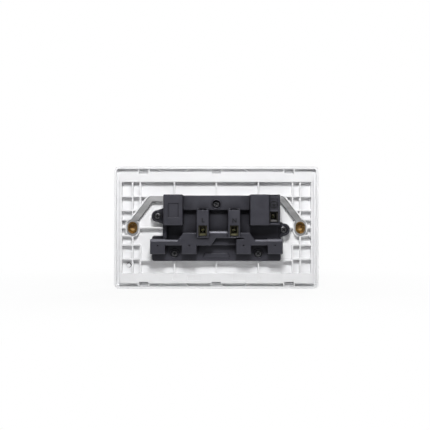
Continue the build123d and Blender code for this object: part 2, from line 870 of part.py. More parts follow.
    # Small blind holes over the pins, and shallow recesses in one earth block and the earth box
    with BuildSketch(level(plateau_level)):
        with Locations(*[(x, pin_z) for x in pin_places]):
            Circle(pin_mark / 2)
    extrude(amount=pin_mark_depth, mode=Mode.SUBTRACT)
    with BuildSketch(level(earth_level)):
        with Locations((outlet_x, (body_top_z + earth_block_bottom_z) / 2)):
            Rectangle(recess_width, recess_height)
    extrude(amount=recess_depth, mode=Mode.SUBTRACT)
    with BuildSketch(level(terminal_level)):
        with Locations((earth_terminal_x, sign_panel_z)):
            Rectangle(sign_panel_width, sign_panel_height)
    extrude(amount=recess_depth, mode=Mode.SUBTRACT)
rear_housing.part.label = "rear_housing"
export_step(rear_housing.part, "parts/rear_housing.step")

# Housing screws: five alike
screws = [cross_screw(place, seat) for place, seat in screw_seats.items()]
with BuildPart() as housing_screws:
    add(screws)
housing_screws.part.label = "housing_screws"
export_step(housing_screws.part, "parts/housing_screws.step")

# Live and neutral contacts: sprung jaws bent from brass strip, open to the room
for pole, places in {"live": live_places, "neutral": neutral_places}.items():
    for name, x in places.items():
        with BuildPart() as contact:
            with BuildSketch(Plane.YZ.offset(x)):
                with BuildLine():
                    FilletPolyline(
                        (contact_front, pin_z + contact_half + contact_flare),
                        (contact_front + contact_flare_run, pin_z + contact_half),
                        (contact_back, pin_z + contact_half),
                        (contact_back, pin_z - contact_half),
                        (contact_front + contact_flare_run, pin_z - contact_half),
                        (contact_front, pin_z - contact_half - contact_flare),
                        radius=contact_bend,
                    )
                trace(line_width=contact_wall)
            extrude(amount=contact_width / 2, both=True)
        contact.part.label = f"{pole}_contact_{name}"
        export_step(contact.part, f"parts/{pole}_contact_{name}.step")

# Earth contacts: upright jaws with a foot on the strap
for name, x in outlets.items():
    with BuildPart() as earth_contact:
        with BuildSketch(Plane.XY.offset(earth_z)):
            with BuildLine():
                FilletPolyline(
                    (x - contact_half - contact_flare, earth_contact_front),
                    (x - contact_half, earth_contact_front + contact_flare_run),
                    (x - contact_half, earth_contact_back),
                    (x + contact_half, earth_contact_back),
                    (x + contact_half, earth_contact_front + contact_flare_run),
                    (x + contact_half + contact_flare, earth_contact_front),
                    radius=contact_bend,
                )
            trace(line_width=contact_wall)
        extrude(amount=earth_contact_height / 2, both=True)
        leaf_top = earth_z + earth_contact_height / 2
        tab_back = earth_contact_front + 2 * contact_flare_run
        with BuildSketch(level(tab_back)):
            for side in (-1, 1):
                with Locations((x + side * contact_half, (leaf_top - earth_tab + foot_z) / 2)):
                    Rectangle(contact_wall, foot_z - leaf_top + earth_tab)
        extrude(amount=tab_back - strap_y)
        with BuildSketch(level(strap_y + contact_wall)):
            with Locations((x, (foot_z - earth_tab + tail_top_z) / 2)):
                Rectangle(2 * contact_half + contact_wall, tail_top_z - foot_z + earth_tab)
        extrude(amount=contact_wall)
    earth_contact.part.label = f"earth_contact_{name}"
    export_step(earth_contact.part, f"parts/earth_contact_{name}.step")

# Live strip: a long run at the back, and a branch nearer the room
with BuildPart() as live_bar:
    with BuildSketch(level(bar_back)):
        live_run()
    extrude(amount=bar_back - bar_front)
    with BuildSketch(level(branch_back)):
        live_branch()
    extrude(amount=branch_back - branch_front)
    with BuildSketch(level(bar_back)):
        with Locations((live_terminal_x, bar_high_z)):
            Rectangle(terminal_width, bar_wall)
    extrude(amount=bar_back - branch_front)
live_bar.part.label = "live_bar"
export_step(live_bar.part, "parts/live_bar.step")

with BuildPart() as neutral_bar:
    with BuildSketch(level(bar_back)):
        neutral_run()
    extrude(amount=bar_back - bar_front)
neutral_bar.part.label = "neutral_bar"
export_step(neutral_bar.part, "parts/neutral_bar.step")

# Terminals and their clamp screws
for name, (x, z, top_z) in terminals.items():
    with BuildPart() as terminal:
        with BuildSketch(level(terminal_back)):
            with Locations((x, z + (terminal_head - terminal_foot) / 2)):
                Rectangle(terminal_width, terminal_head + terminal_foot)
        extrude(amount=terminal_back - terminal_front)
        if name == "earth":
            with BuildSketch(Plane.YZ.offset(x)):
                tail_z = z + terminal_head
                Polygon(
                    (terminal_front, tail_z - terminal_tail),
                    (strap_y, tail_z - terminal_tail),
                    (strap_y, tail_top_z),
                    (strap_y + terminal_tail, tail_top_z),
                    (strap_y + terminal_tail, tail_z),
                    (terminal_front, tail_z),
                    align=None,
                )
            extrude(amount=terminal_width / 2, both=True)
        with BuildSketch(level(terminal_back)):
            with Locations((x, z)):
                RectangleRounded(wire_bore_width, wire_bore_height, wire_bore_corner)
        extrude(amount=terminal_back - terminal_front - wire_bore_floor, mode=Mode.SUBTRACT)
        with BuildSketch(Plane.YZ.offset(x)):
            Polygon(
                (terminal_back, z - wire_bore_height / 2),
                (terminal_back, z - wire_hole_bottom),
                (terminal_back - mouth_bevel, z - wire_bore_height / 2),
                align=None,
            )
        extrude(amount=wire_bore_width / 2, both=True, mode=Mode.SUBTRACT)
        with BuildSketch(level(terminal_front + wire_bore_floor)):
            with Locations((x, z)):
                Circle(drill_point / 2)
        extrude(amount=drill_depth, taper=drill_taper, mode=Mode.SUBTRACT)
        with BuildSketch(Plane.XY.offset(z + terminal_head)):
            with Locations((x, clamp_level)):
                Circle(clamp_screw / 2 + clamp_fit)
        extrude(amount=-terminal_thread - wire_bore_corner, mode=Mode.SUBTRACT)
    terminal.part.label = f"{name}_terminal"
    export_step(terminal.part, f"parts/{name}_terminal.step")

    with BuildPart() as clamp:
        tip_z = z + wire_bore_height / 2 + clamp_rest_gap
        head_z = z + terminal_head + clamp_travel + clamp_stop_gap
        with BuildSketch(Plane.XY.offset(tip_z)):
            with Locations((x, clamp_level)):
                Circle(clamp_screw / 2)
        extrude(amount=head_z - tip_z)
        with BuildSketch(Plane.XY.offset(head_z)):
            with Locations((x, clamp_level)):
                Circle(clamp_head / 2)
        extrude(amount=clamp_head_height)
        with BuildSketch(Plane.XY.offset(head_z + clamp_head_height)):
            with Locations((x, clamp_level)):
                Rectangle(clamp_head, clamp_slot_width)
        extrude(amount=-clamp_slot_depth, mode=Mode.SUBTRACT)
    clamp.part.label = f"{name}_terminal_screw"
    export_step(clamp.part, f"parts/{name}_terminal_screw.step")

# Shutters: wings over the live and neutral apertures, and a ramp that the earth pin pushes down
for name, x in outlets.items():
    with BuildPart() as shutter:
        with BuildSketch(level(shutter_back)):
            with Locations((x, (ramp_top_z + bridge_z) / 2)):
                Rectangle(2 * stem_half, ramp_top_z - bridge_z)
            with Locations((x, (step_z + bridge_z) / 2)):
                Rectangle(2 * step_half, step_z - bridge_z)
            for side in (-1, 1):
                with Locations((x + side * (leg_half + step_half) / 2, (step_z + wing_bottom_z) / 2)):
                    Rectangle(step_half - leg_half, step_z - wing_bottom_z)
                with Locations((x + side * (leg_half + wing_reach) / 2, (wing_top_z + wing_bottom_z) / 2)):
                    Rectangle(wing_reach - leg_half, wing_top_z - wing_bottom_z)
            with Locations((x, (spring_top_z + wing_bottom_z) / 2)):
                Rectangle(2 * spring_slot_half, spring_top_z - wing_bottom_z, mode=Mode.SUBTRACT)
        extrude(amount=shutter_thick)
        with BuildSketch(level(ramp_back)):
            with Locations((x, ramp_top_z - ramp_height / 2)):
                Rectangle(2 * stem_half, ramp_height)
        extrude(amount=ramp_back - shutter_back)
        with BuildSketch(Plane.YZ.offset(x)):
            Polygon(
                (shutter_front, ramp_top_z - ramp_height),
                (ramp_back, ramp_top_z),
                (shutter_front, ramp_top_z),
                align=None,
            )
        extrude(amount=stem_half, both=True, mode=Mode.SUBTRACT)
    shutter.part.label = f"shutter_{name}"
    export_step(shutter.part, f"parts/shutter_{name}.step")

    with BuildPart() as spring:
        spring_length = spring_top_z - spring_peg_z - spring_wire - 2 * spring_end_gap
        with BuildLine() as coil:
            Helix(
                pitch=spring_length / spring_turns,
                height=spring_length,
                radius=spring_radius,
                center=(
                    x,
                    shutter_front + shutter_thick / 2,
                    spring_peg_z + spring_end_gap + spring_wire / 2,
                ),
            )
        with BuildSketch(Plane(origin=coil.line @ 0, z_dir=coil.line % 0)):
            Rectangle(spring_wire, spring_wire)
        sweep(path=coil.line, is_frenet=True)
    spring.part.label = f"shutter_spring_{name}"
    export_step(spring.part, f"parts/shutter_spring_{name}.step")
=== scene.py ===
import json
import math

import bmesh
import bpy
from mathutils import Matrix, Vector


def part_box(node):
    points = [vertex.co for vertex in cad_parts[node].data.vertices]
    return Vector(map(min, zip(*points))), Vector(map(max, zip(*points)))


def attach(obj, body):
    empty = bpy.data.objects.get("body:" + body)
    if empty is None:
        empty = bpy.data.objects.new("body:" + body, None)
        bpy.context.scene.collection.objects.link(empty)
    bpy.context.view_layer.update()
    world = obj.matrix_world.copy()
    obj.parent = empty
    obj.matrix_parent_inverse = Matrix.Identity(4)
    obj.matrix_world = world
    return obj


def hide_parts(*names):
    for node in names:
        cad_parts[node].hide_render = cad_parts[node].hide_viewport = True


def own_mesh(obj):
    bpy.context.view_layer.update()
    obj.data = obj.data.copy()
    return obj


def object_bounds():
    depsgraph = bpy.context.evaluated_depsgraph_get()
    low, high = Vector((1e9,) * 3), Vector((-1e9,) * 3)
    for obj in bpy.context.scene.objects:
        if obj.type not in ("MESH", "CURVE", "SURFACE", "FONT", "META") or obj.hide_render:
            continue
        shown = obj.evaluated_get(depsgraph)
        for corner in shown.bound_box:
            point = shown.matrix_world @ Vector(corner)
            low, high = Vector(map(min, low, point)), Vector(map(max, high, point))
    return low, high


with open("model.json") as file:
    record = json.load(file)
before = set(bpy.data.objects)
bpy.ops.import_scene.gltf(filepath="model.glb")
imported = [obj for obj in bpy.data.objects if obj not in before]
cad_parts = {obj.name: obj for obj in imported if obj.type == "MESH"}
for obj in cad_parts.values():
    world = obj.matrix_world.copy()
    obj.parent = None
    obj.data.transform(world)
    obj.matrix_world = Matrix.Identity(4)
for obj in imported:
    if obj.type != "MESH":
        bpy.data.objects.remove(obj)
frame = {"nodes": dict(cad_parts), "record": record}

# Finishes, small pieces, light and camera for a two-gang socket outlet, seen from behind.
# Metres, in the frame of the solids: X to the right from the room, Y into the wall, Z up.
# Colours are linear red, green and blue.

cad_low, cad_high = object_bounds()
nodes = frame["nodes"]
scene = bpy.context.scene
mm = 0.001
poles = ("live", "neutral", "earth")

# Shutter springs
spring_wire = 0.35 * mm
spring_turns = 9
spring_dead_turns = 1
spring_steps_per_turn = 24
spring_wire_sides = 10
spring_sharp_angle = 50

# Screws: threads, points and heads of both kinds
thread_pitch = 0.7 * mm
thread_depth = 0.28 * mm
thread_steps_per_turn = 8
screw_sides = 32
screw_sharp_angle = 35
point_lead = 0.3 * mm
point_length = 1.2 * mm
point_share = 0.7
head_height = 1.8 * mm
head_steps = 8

# Housing screws, each with its cross turned a little further than the last
housing_shank_radius = 1.3 * mm
housing_crown = 0.9 * mm
cross_wide = 0.85 * mm
cross_long = 3.1 * mm
cross_deep = 1.1 * mm
cross_first_angle = 40
cross_angle_step = 11

# Clamp screws
clamp_shank_radius = 1.8 * mm
clamp_crown = 0.4 * mm
clamp_slot_width = 0.8 * mm
clamp_slot_depth = 0.8 * mm

# Peg of the cover in the frame's pocket hole
peg_place = (63.6 * mm, -27.4 * mm)
peg_radius = 1.45 * mm
peg_rounding = 0.3 * mm
peg_height = 2.1 * mm
peg_sides = 32
peg_rounding_steps = 5
peg_sharp_angle = 35

# Marks beside the wire holes: places across and up, and levels of the faces that carry them
mark_height = 2.9 * mm
mark_relief = 0.25 * mm
letter_level = 14.5 * mm
capital_share = 0.69
letters = {"mark_live": ("L", (9.4 * mm, 5.3 * mm)), "mark_neutral": ("N", (-12.6 * mm, 5.1 * mm))}
earth_mark = (-40.2 * mm, 16.3 * mm)
earth_level = 14.0 * mm
earth_ring = 2.35 * mm
earth_line = 0.5 * mm
earth_ring_steps = 40

# Stem and bars of the earth sign: centre and size as shares of the ring's radius
earth_strokes = (
    ((0.0, 0.46), (0.2, 0.92)),
    ((0.0, 0.0), (1.24, 0.2)),
    ((0.0, -0.34), (0.8, 0.18)),
    ((0.0, -0.66), (0.36, 0.18)),
)

# Vertices that agree to this many digits, or lie this close, are one point
weld_digits = 6
weld_distance = 0.001 * mm

# Places of painted light and shade: reach across, in depth and up, and colour; full within a share of the
# reach
tint_full_share = 0.8
# Painted brown shade on the cover behind the eyelets, standing for light bounced off the brass
eyelet_shade_reach = (5.5 * mm, 1.2 * mm, 5.5 * mm)
eyelet_painted_shade = (0.68, 0.42, 0.15)
# Painted shadow in the gap round the cover's peg
peg_shadow_reach = (3.2 * mm, 1.2 * mm, 3.2 * mm)
peg_gap_painted_shadow = (0.02, 0.02, 0.02)
# Painted highlight at the drill's point in each terminal's bore
drill_highlight_reach = (1.3 * mm, 2.5 * mm, 1.3 * mm)
drill_point_painted_highlight = (1.0, 0.97, 0.72)
# Painted light on the lit lower lip of each wire hole's mouth
mouth_light_reach = (2.4 * mm, 1.8 * mm, 1.0 * mm)
mouth_below_entry = 0.75 * mm

# Texture scales, and the part of a noise's range that is spread over the whole look
noise_low = 0.3
noise_high = 0.7
plastic_colour_scale = 90.0
plastic_gloss_scale = 240.0
plastic_grain_detail = 2.0
metal_streak_scale = 900.0
metal_colour_scale = metal_streak_scale / 3
metal_streak_detail = 4.0
metal_streak_depth = 0.006 * mm
edge_samples = 4

# Painted shade in hollows: sheen of plastic in hollows and in the open, as shares of its usual sheen; its
# colour darkens in hollows too
hollow_samples = 8
hollow_openness = 0.27
hollow_sheen = 0.3
open_sheen = 1.3

# Camera of the photograph
photo_distance = 550 * mm
photo_width = 309 * mm
photo_aim = (1.0 * mm, 9.1 * mm)
sensor = 36.0
near_clip = 0.01

# Light
key_angle = math.radians(34.0)
key_distance = 0.42
key_size = 0.085
key_power = 1.68
front_place = (-0.7, -1.3, 0.9)
front_size = 0.9
front_power = 22.0
side_place = (1.1, -0.5, 0.5)
side_size = 0.7
side_power = 5.0
ambient = 0.042

# Y of a reflected ray where the white backdrop starts to show, and where it shows in full
room_edge = 0.1
room_full = -0.3

# Floor, which fades to white towards its rim
floor_radius = 0.26
floor_sides = 96
floor_shades = ((0.62, 0.62, 0.62), (0.64, 0.64, 0.64))
floor_roughness = 0.9
floor_noise_scale = 3.0
floor_fade_start = 0.3 * floor_radius
floor_fade_end = 0.95 * floor_radius
floor_white_share = 0.93


def shader_tree(name):
    """New material with nodes; returns it with its node tree and its shader."""
    material = bpy.data.materials.new(name)
    material.use_nodes = True
    tree = material.node_tree
    return material, tree, tree.nodes["Principled BSDF"]


def object_place(tree):
    """Place in the object's own space."""
    return tree.nodes.new("ShaderNodeTexCoord").outputs["Object"]


def joined(tree, operation, first, second):
    """Math node of two values, either of them an output or a number."""
    node = tree.nodes.new("ShaderNodeMath")
    node.operation = operation
    for socket, value in zip(node.inputs, (first, second)):
        if isinstance(value, float):
            socket.default_value = value
        else:
            tree.links.new(value, socket)
    return node.outputs[0]


def vector_step(tree, operation, first, second=(0, 0, 0)):
    """Vector math node of an output and a constant."""
    node = tree.nodes.new("ShaderNodeVectorMath")
    node.operation = operation
    tree.links.new(first, node.inputs[0])
    node.inputs[1].default_value = second
    return node


def map_range(tree, value, start, end, low=0.0, high=1.0):
    """Output that runs from low to high while a value runs from start to end."""
    node = tree.nodes.new("ShaderNodeMapRange")
    for name, number in zip(("From Min", "From Max", "To Min", "To Max"), (start, end, low, high)):
        node.inputs[name].default_value = number
    tree.links.new(value, node.inputs["Value"])
    return node.outputs["Result"]


def noise(tree, scale, detail=3.0, stretch=None):
    """Noise in the object's own space, stretched where a direction is given."""
    texture = tree.nodes.new("ShaderNodeTexNoise")
    texture.inputs["Scale"].default_value = scale
    texture.inputs["Detail"].default_value = detail
    vector = object_place(tree)
    if stretch:
        mapping = tree.nodes.new("ShaderNodeMapping")
        mapping.inputs["Scale"].default_value = stretch
        tree.links.new(vector, mapping.inputs["Vector"])
        vector = mapping.outputs["Vector"]
    tree.links.new(vector, texture.inputs["Vector"])
    return texture.outputs["Fac"]


def colour_spread(tree, shader, factor, dark, light):
    """Base colour between two shades."""
    ramp = tree.nodes.new("ShaderNodeValToRGB")
    stops = ((noise_low, dark), (noise_high, light))
    for element, (position, shade) in zip(ramp.color_ramp.elements, stops):
        element.position = position
        element.color = (*shade, 1)
    tree.links.new(factor, ramp.inputs["Fac"])
    tree.links.new(ramp.outputs["Color"], shader.inputs["Base Color"])


def roughness_spread(tree, shader, factor, low, high):
    """Roughness between two values."""
    spread = map_range(tree, factor, noise_low, noise_high, low, high)
    tree.links.new(spread, shader.inputs["Roughness"])


def surface_grain(tree, shader, factor, depth, edge=0.0):
    """Bump from a texture, over edges that are softened by a small radius."""
    bump = tree.nodes.new("ShaderNodeBump")
    bump.inputs["Strength"].default_value = 1.0
    bump.inputs["Distance"].default_value = depth
    tree.links.new(factor, bump.inputs["Height"])
    if edge:
        soften = tree.nodes.new("ShaderNodeBevel")
        soften.samples = edge_samples
        soften.inputs["Radius"].default_value = edge
        tree.links.new(soften.outputs["Normal"], bump.inputs["Normal"])
    tree.links.new(bump.outputs["Normal"], shader.inputs["Normal"])


def paint_shade_in_hollows(tree, shader, reach, sheen):
    """Painted shade: less sheen and less colour deep in hollows, by how enclosed they are."""
    openness = tree.nodes.new("ShaderNodeAmbientOcclusion")
    openness.samples = hollow_samples
    openness.inputs["Distance"].default_value = reach
    sheens = (hollow_sheen * sheen, open_sheen * sheen)
    spread = map_range(tree, openness.outputs["AO"], hollow_openness, 1.0, *sheens)
    tree.links.new(spread, shader.inputs["Specular IOR Level"])
    colour = shader.inputs["Base Color"].links[0].from_socket
    tree.links.new(colour, openness.inputs["Color"])
    tree.links.new(openness.outputs["Color"], shader.inputs["Base Color"])


def moulded_plastic(name, dark, light, rough, sheen, grain, depth, edge, hollow=0.0, sheen_tint=(1, 1, 1)):
    """Injection-moulded plastic: slightly uneven colour and gloss, with a fine spark-eroded grain."""
    material, tree, shader = shader_tree(name)
    shader.inputs["Specular IOR Level"].default_value = sheen
    shader.inputs["Specular Tint"].default_value = (*sheen_tint, 1)
    colour_spread(tree, shader, noise(tree, plastic_colour_scale), dark, light)
    # Painted shade in hollows, where a reach is given
    if hollow:
        paint_shade_in_hollows(tree, shader, hollow, sheen)
    roughness_spread(tree, shader, noise(tree, plastic_gloss_scale), *rough)
    surface_grain(tree, shader, noise(tree, grain, plastic_grain_detail), depth, edge)
    return material


def bare_metal(name, dark, light, rough, drawn):
    """Metal with streaks along the direction in which it was drawn."""
    material, tree, shader = shader_tree(name)
    shader.inputs["Metallic"].default_value = 1.0
    streaks = noise(tree, metal_streak_scale, metal_streak_detail, drawn)
    colour_spread(tree, shader, noise(tree, metal_colour_scale, stretch=drawn), dark, light)
    roughness_spread(tree, shader, streaks, *rough)
    surface_grain(tree, shader, streaks, metal_streak_depth)
    return material


def tint_place(material, centre, reach, tint):
    """Another colour inside an ellipsoid at a place, and at its mirror image across the middle plane."""
    tree = material.node_tree
    shader = tree.nodes["Principled BSDF"]
    parts = tree.nodes.new("ShaderNodeSeparateXYZ")
    tree.links.new(object_place(tree), parts.inputs["Vector"])
    mirrored = tree.nodes.new("ShaderNodeCombineXYZ")
    tree.links.new(joined(tree, "ABSOLUTE", parts.outputs["X"], 0.0), mirrored.inputs["X"])
    tree.links.new(parts.outputs["Y"], mirrored.inputs["Y"])
    tree.links.new(parts.outputs["Z"], mirrored.inputs["Z"])
    shifted = vector_step(tree, "SUBTRACT", mirrored.outputs["Vector"], (abs(centre[0]), *centre[1:]))
    scaled = vector_step(tree, "DIVIDE", shifted.outputs["Vector"], reach)
    length = vector_step(tree, "LENGTH", scaled.outputs["Vector"])
    mix = tree.nodes.new("ShaderNodeMix")
    mix.data_type = "RGBA"
    tree.links.new(map_range(tree, length.outputs["Value"], 1.0, tint_full_share), mix.inputs["Factor"])
    outside, inside = [socket for socket in mix.inputs if socket.type == "RGBA"]
    tree.links.new(shader.inputs["Base Color"].links[0].from_socket, outside)
    inside.default_value = (*tint, 1)
    blended = [socket for socket in mix.outputs if socket.type == "RGBA"][0]
    tree.links.new(blended, shader.inputs["Base Color"])


# Plastics
white_look = dict(
    dark=(0.795, 0.797, 0.808), light=(0.812, 0.814, 0.824), rough=(0.34, 0.44),
    sheen=0.45, grain=2600.0, depth=0.006 * mm, edge=0.12 * mm,
)
plastics = {
    "white_plastic": white_look,
    "cover_plastic": white_look,
    "black_plastic": dict(
        dark=(0.0102, 0.0101, 0.0148), light=(0.0144, 0.0142, 0.0204), rough=(0.36, 0.45),
        sheen=0.6, grain=3200.0, depth=0.02 * mm, edge=0.55 * mm,
        # Reach of the painted shade in its hollows, and tint of its sheen
        hollow=9 * mm, sheen_tint=(0.89, 0.89, 1.0),
    ),
    "raised_mark": dict(
        dark=(0.004, 0.004, 0.005), light=(0.006, 0.006, 0.007), rough=(0.4, 0.5),
        sheen=0.3, grain=3200.0, depth=0.008 * mm, edge=0.08 * mm,
    ),
    "shutter_plastic": dict(
        dark=(0.70, 0.71, 0.72), light=(0.76, 0.77, 0.78), rough=(0.4, 0.5),
        sheen=0.4, grain=2600.0, depth=0.005 * mm, edge=0.1 * mm,
    ),
}

# Metals: darkest and lightest shade, lowest and highest roughness, and how streaks are drawn out
even = (1, 1, 1)
drawn_across = (0.15, 1, 1)
drawn_deep = (1, 0.2, 1)
drawn_up = (1, 1, 0.3)
metals = {
    "zinc_steel": ((0.345, 0.345, 0.35), (0.445, 0.445, 0.45), (0.34, 0.48), drawn_across),
    "dark_steel": ((0.1, 0.1, 0.106), (0.15, 0.15, 0.158), (0.31, 0.43), even),
    # Lining of screw recesses: painted shade, darker than the screws' steel
    "painted_recess_shade": ((0.012, 0.012, 0.013), (0.025, 0.025, 0.026), (0.5, 0.65), even),
    "screw_steel": ((0.13, 0.13, 0.125), (0.2, 0.2, 0.19), (0.4, 0.55), even),
    "spring_steel": ((0.5, 0.5, 0.51), (0.62, 0.62, 0.62), (0.2, 0.32), drawn_up),
    "brass": ((0.30, 0.17, 0.05), (0.44, 0.27, 0.095), (0.24, 0.38), drawn_deep),
    # Terminal brasses: darkened far below brass's own colour, as painted shade inside the wire holes
    "live_brass": ((0.036, 0.034, 0.022), (0.056, 0.053, 0.036), (0.55, 0.65), drawn_deep),
    "neutral_brass": ((0.036, 0.034, 0.022), (0.056, 0.053, 0.036), (0.55, 0.65), drawn_deep),
    "earth_brass": ((0.026, 0.025, 0.022), (0.04, 0.039, 0.035), (0.55, 0.65), drawn_deep),
}
# Painted light on the lower lip of each terminal's mouth
mouth_painted_light = {
    "live": (0.052, 0.05, 0.029),
    "neutral": (0.06, 0.056, 0.034),
    "earth": (0.075, 0.073, 0.074),
}
materials = {name: moulded_plastic(name, **look) for name, look in plastics.items()}
materials.update({name: bare_metal(name, *look) for name, look in metals.items()})

# Cover: painted brown shade where its inner face shows through the eyelets, standing for light bounced off
# the brass; painted shadow in the gap round its peg
eyelet_low, eyelet_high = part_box("eyelet_right")
eyelet_middle = (eyelet_low + eyelet_high) / 2
eyelet_floor = (eyelet_middle.x, eyelet_low.y, eyelet_middle.z)
tint_place(materials["cover_plastic"], eyelet_floor, eyelet_shade_reach, eyelet_painted_shade)
peg_foot = (peg_place[0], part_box("mounting_frame")[0].y, peg_place[1])
tint_place(materials["cover_plastic"], peg_foot, peg_shadow_reach, peg_gap_painted_shadow)

# Terminals: brass darkened as painted shade inside the wire holes, with painted light on the lower lip of
# the mouth and a painted highlight at the drill's point
finishes = {"front_cover": "cover_plastic"}
entries = {row["name"]: row["box_m"] for row in frame["record"]["physics"]["openings"]}
for pole in poles:
    finish = f"{pole}_brass"
    entry_low, entry_high = (Vector(corner) for corner in entries[f"{pole}_wire_entry"])
    entry_middle = (entry_low + entry_high) / 2
    mouth = (entry_middle.x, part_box(f"{pole}_terminal")[1].y, entry_low.z - mouth_below_entry)
    # Painted light on the mouth's lower lip
    tint_place(materials[finish], mouth, mouth_light_reach, mouth_painted_light[pole])
    # Painted highlight at the drill's point
    drill_point = (entry_middle.x, entry_low.y, entry_middle.z)
    tint_place(materials[finish], drill_point, drill_highlight_reach, drill_point_painted_highlight)
    finishes[f"{pole}_terminal"] = finish

# Every solid gets its own finish, or that of its slot
for row in frame["record"]["subparts"]:
    mesh = nodes[row["node"]].data
    mesh.materials.clear()
    mesh.materials.append(materials[finishes.get(row["node"], row["material_slot"])])


def link_mesh(name, bm):
    """Mesh object in the scene, made from a finished bmesh."""
    mesh = bpy.data.meshes.new(name)
    bm.to_mesh(mesh)
    bm.free()
    obj = bpy.data.objects.new(name, mesh)
    scene.collection.objects.link(obj)
    return obj


def add_piece(name, bm, slot, body="socket", finish=None):
    """Link a mesh as a piece with a slot's finish, or another, that moves with a body."""
    obj = link_mesh(name, bm)
    obj.data.materials.append(materials[finish or slot])
    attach(obj, body)
    return obj


def final_mesh(obj):
    """Mesh of an object as its modifiers or its text leave it."""
    bpy.context.view_layer.update()
    return bpy.data.meshes.new_from_object(obj.evaluated_get(bpy.context.evaluated_depsgraph_get()))


def soft_shading(obj, degrees):
    """Smooth shading except across edges sharper than an angle."""
    obj.data.shade_smooth()
    obj.data.set_sharp_from_angle(angle=math.radians(degrees))


def islands(node):
    """Boxes (low, high) of the separate solids in a node, from left to right."""
    mesh = nodes[node].data
    places = {}
    keys = []
    for vertex in mesh.vertices:
        place = tuple(round(c, weld_digits) for c in vertex.co)
        keys.append(places.setdefault(place, len(places)))
    leaders = list(range(len(places)))

    def find(key):
        while leaders[key] != key:
            leaders[key] = leaders[leaders[key]]
            key = leaders[key]
        return key

    for edge in mesh.edges:
        first, second = edge.vertices
        leaders[find(keys[first])] = find(keys[second])
    groups = {}
    for vertex, key in zip(mesh.vertices, keys):
        groups.setdefault(find(key), []).append(vertex.co)
    boxes = []
    for points in groups.values():
        low = Vector([min(p[i] for p in points) for i in range(3)])
        high = Vector([max(p[i] for p in points) for i in range(3)])
        boxes.append((low, high))
    return sorted(boxes, key=lambda box: box[0].x)


def grid_faces(bm, rings):
    """Skin a list of rings of vertices, and close both ends."""
    for lower, upper in zip(rings, rings[1:]):
        count = len(lower)
        for i in range(count):
            after = (i + 1) % count
            bm.faces.new((lower[i], lower[after], upper[after], upper[i]))
    bm.faces.new(rings[0][::-1])
    bm.faces.new(rings[-1])


def turned_ring(bm, height, radii):
    """Ring of vertices around Z, with a radius for each."""
    ring = []
    for i, radius in enumerate(radii):
        angle = 2 * math.pi * i / len(radii)
        ring.append(bm.verts.new((radius * math.cos(angle), radius * math.sin(angle), height)))
    return ring


def rounded_end(radius, top, rounding, steps):
    """Heights and radii of a turned end that is rounded towards its top."""
    points = []
    for step in range(steps + 1):
        turn = step / steps * math.pi / 2
        height = top - rounding * (1 - math.sin(turn))
        points.append((height, radius - rounding * (1 - math.cos(turn))))
    return points


def thread_radius(radius, height, share):
    """Radius of a thread at a height and a share of a turn, thinner towards the point."""
    phase = (height / thread_pitch - share) % 1.0
    ridge = 1 - abs(2 * phase - 1)
    fullness = min(1.0, (height + point_lead) / point_length)
    return (radius - thread_depth * (1 - ridge)) * (point_share + (1 - point_share) * fullness)


def threaded_screw(length, radius, head_radius, crown):
    """Screw along Z with its point at 0: a threaded shank under a crowned head."""
    bm = bmesh.new()
    steps = int(length / thread_pitch * thread_steps_per_turn)
    rings = []
    for step in range(steps + 1):
        height = length * step / steps
        radii = [thread_radius(radius, height, i / screw_sides) for i in range(screw_sides)]
        rings.append(turned_ring(bm, height, radii))
    head = [(length, head_radius)] + rounded_end(head_radius, length + head_height, crown, head_steps)
    for height, level_radius in head:
        rings.append(turned_ring(bm, height, [level_radius] * screw_sides))
    grid_faces(bm, rings)
    return bm


def cut_recess(obj, boxes, finish):
    """Cut boxes (size, matrix) out of a piece's mesh, and line the cut with a finish."""
    bm = bmesh.new()
    for size, place in boxes:
        bmesh.ops.create_cube(bm, size=1.0, matrix=place @ Matrix.Diagonal((*size, 1)))
    cutter = link_mesh("cutter", bm)
    cutter.data.materials.append(materials[finish])
    boolean = obj.modifiers.new("recess", "BOOLEAN")
    boolean.operation = "DIFFERENCE"
    boolean.object = cutter
    boolean.use_self = True
    boolean.material_mode = "TRANSFER"
    result = final_mesh(obj)
    obj.modifiers.clear()
    obj.data = result
    bpy.data.objects.remove(cutter)


# Turns a piece that was made along Z so that it points to the rear
to_rear = Matrix.Rotation(-math.pi / 2, 4, "X")

# Housing screws: crowned cross-head screws in place of the plain ones, their crosses lined with painted
# shade
bm = bmesh.new()
recesses = []
for index, (low, high) in enumerate(islands("housing_screws")):
    centre = (low + high) / 2
    head_radius = (high.x - low.x) / 2
    one = threaded_screw(high.y - low.y - head_height, housing_shank_radius, head_radius, housing_crown)
    one.transform(Matrix.Translation((centre.x, low.y, centre.z)) @ to_rear)
    one_mesh = bpy.data.meshes.new("screw")
    one.to_mesh(one_mesh)
    one.free()
    bm.from_mesh(one_mesh)
    bpy.data.meshes.remove(one_mesh)
    turn = Matrix.Rotation(math.radians(cross_first_angle + cross_angle_step * index), 4, "Y")
    top = Matrix.Translation((centre.x, high.y, centre.z)) @ turn
    recesses.append(((cross_long, 2 * cross_deep, cross_wide), top))
    recesses.append(((cross_wide, 2 * cross_deep, cross_long), top))
screws = add_piece("cross_head_screws", bm, "dark_steel")
cut_recess(screws, recesses, "painted_recess_shade")
soft_shading(screws, screw_sharp_angle)
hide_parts("housing_screws")

